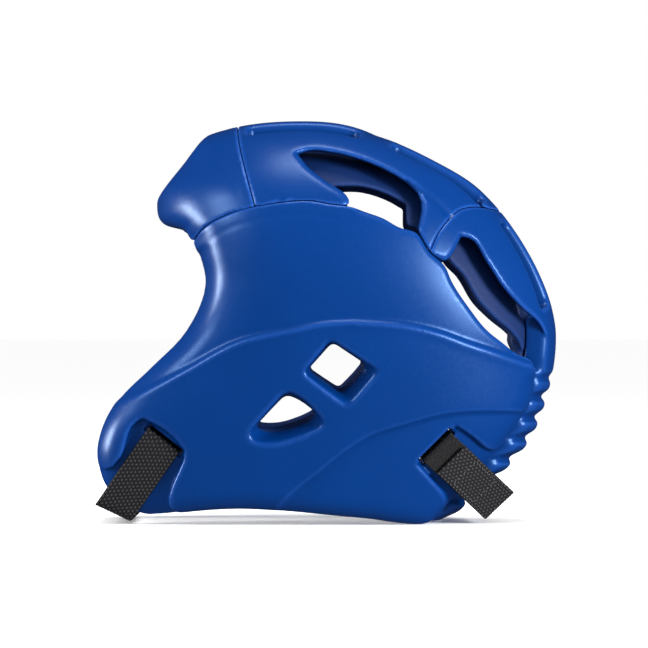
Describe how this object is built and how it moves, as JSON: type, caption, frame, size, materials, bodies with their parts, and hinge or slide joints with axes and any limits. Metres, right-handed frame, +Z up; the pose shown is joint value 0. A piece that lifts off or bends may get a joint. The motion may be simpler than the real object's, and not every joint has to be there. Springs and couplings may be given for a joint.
{
  "type": "boxing headgear",
  "caption": "Moulded foam head guard with an open face, cheek flanges, ear and crown vents, a ribbed neck tongue and webbing straps under the chin and behind the neck.",
  "frame": {"origin": "middle of the outer box on the surface that the guard stands on", "axes": "+Z up, the wearer looks along -Y, the wearer's left is +X"},
  "size_m": [0.2136, 0.2929, 0.255],
  "materials": {
    "shell_foam": "satin",
    "pad_foam": "matte",
    "webbing": "matte",
    "loop_tape": "matte",
    "hook_tape": "matte"
  },
  "bodies": {
    "shell": {"forehead_panel": "shell_foam", "crown_panel": "shell_foam", "back_panel": "shell_foam", "left_wing": "shell_foam", "right_wing": "shell_foam", "forehead_pad": "pad_foam", "crown_pad": "pad_foam", "back_pad": "pad_foam", "left_pad": "pad_foam", "right_pad": "pad_foam", "chin_strap_root": "webbing", "chin_loop_strap": "loop_tape", "rear_strap_root": "webbing", "rear_loop_strap": "loop_tape", "chin_strap_stop": "webbing", "chin_loop_stop": "webbing", "rear_strap_stop": "webbing", "rear_loop_stop": "webbing"},
    "chin_crossing": {"chin_strap": "webbing"},
    "chin_fastening": {"chin_strap_tab": "webbing", "chin_hook_patch": "hook_tape"},
    "rear_crossing": {"rear_strap": "webbing"},
    "rear_fastening": {"rear_strap_tab": "webbing", "rear_hook_patch": "hook_tape"}
  },
  "joints": [
    {"name": "chin_strap_swing", "type": "hinge", "parent": "shell", "child": "chin_crossing", "pos_m": [0.0655, -0.1325, 0.0102], "axis": [0, 0, 1], "range_deg": [0, 75]},
    {"name": "chin_tab_peel", "type": "hinge", "parent": "chin_crossing", "child": "chin_fastening", "pos_m": [-0.069, -0.133, 0.0091], "axis": [0, -0.9063, 0.4226], "range_deg": [0, 85]},
    {"name": "rear_strap_swing", "type": "hinge", "parent": "shell", "child": "rear_crossing", "pos_m": [-0.043, 0.105, 0.0139], "axis": [0, 0, 1], "range_deg": [0, 75]},
    {"name": "rear_tab_peel", "type": "hinge", "parent": "rear_crossing", "child": "rear_fastening", "pos_m": [0.0458, 0.1066, 0.0122], "axis": [0, 0.7314, 0.682], "range_deg": [0, 85]}
  ]
}
